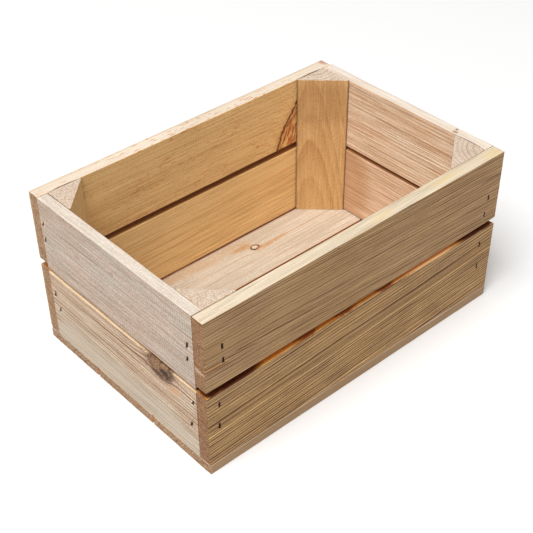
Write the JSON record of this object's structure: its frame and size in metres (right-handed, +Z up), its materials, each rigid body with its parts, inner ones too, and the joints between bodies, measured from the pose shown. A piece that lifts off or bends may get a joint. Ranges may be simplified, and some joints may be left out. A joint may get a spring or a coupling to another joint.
{
  "type": "apple crate",
  "caption": "Small open-top apple crate of sawn softwood slats with a gap in each wall, stapled to triangular corner posts, with floor boards under the walls.",
  "frame": {"origin": "middle of the footprint, on the underside of the floor boards", "axes": "+X along the crate's length, +Y from the front long wall to the back one, +Z up towards the open top"},
  "size_m": [0.4, 0.268, 0.189],
  "materials": {
    "slat_wood": "rough-sawn pale softwood, unfinished",
    "post_wood": "sawn pale softwood, unfinished",
    "floor_wood": "sawn pale softwood, unfinished",
    "staple_steel": "dull galvanised wire"
  },
  "bodies": {
    "root": {"front_upper_slat": "slat_wood", "front_lower_slat": "slat_wood", "back_upper_slat": "slat_wood", "back_lower_slat": "slat_wood", "left_upper_slat": "slat_wood", "left_lower_slat": "slat_wood", "right_upper_slat": "slat_wood", "right_lower_slat": "slat_wood", "front_left_post": "post_wood", "front_right_post": "post_wood", "back_left_post": "post_wood", "back_right_post": "post_wood", "front_floor_board": "floor_wood", "middle_floor_board": "floor_wood", "back_floor_board": "floor_wood", "front_upper_staples": "staple_steel", "front_lower_staples": "staple_steel", "back_upper_staples": "staple_steel", "back_lower_staples": "staple_steel", "left_upper_staples": "staple_steel", "left_lower_staples": "staple_steel", "right_upper_staples": "staple_steel", "right_lower_staples": "staple_steel", "front_floor_staples": "staple_steel", "middle_floor_staples": "staple_steel", "back_floor_staples": "staple_steel"}
  },
  "joints": []
}
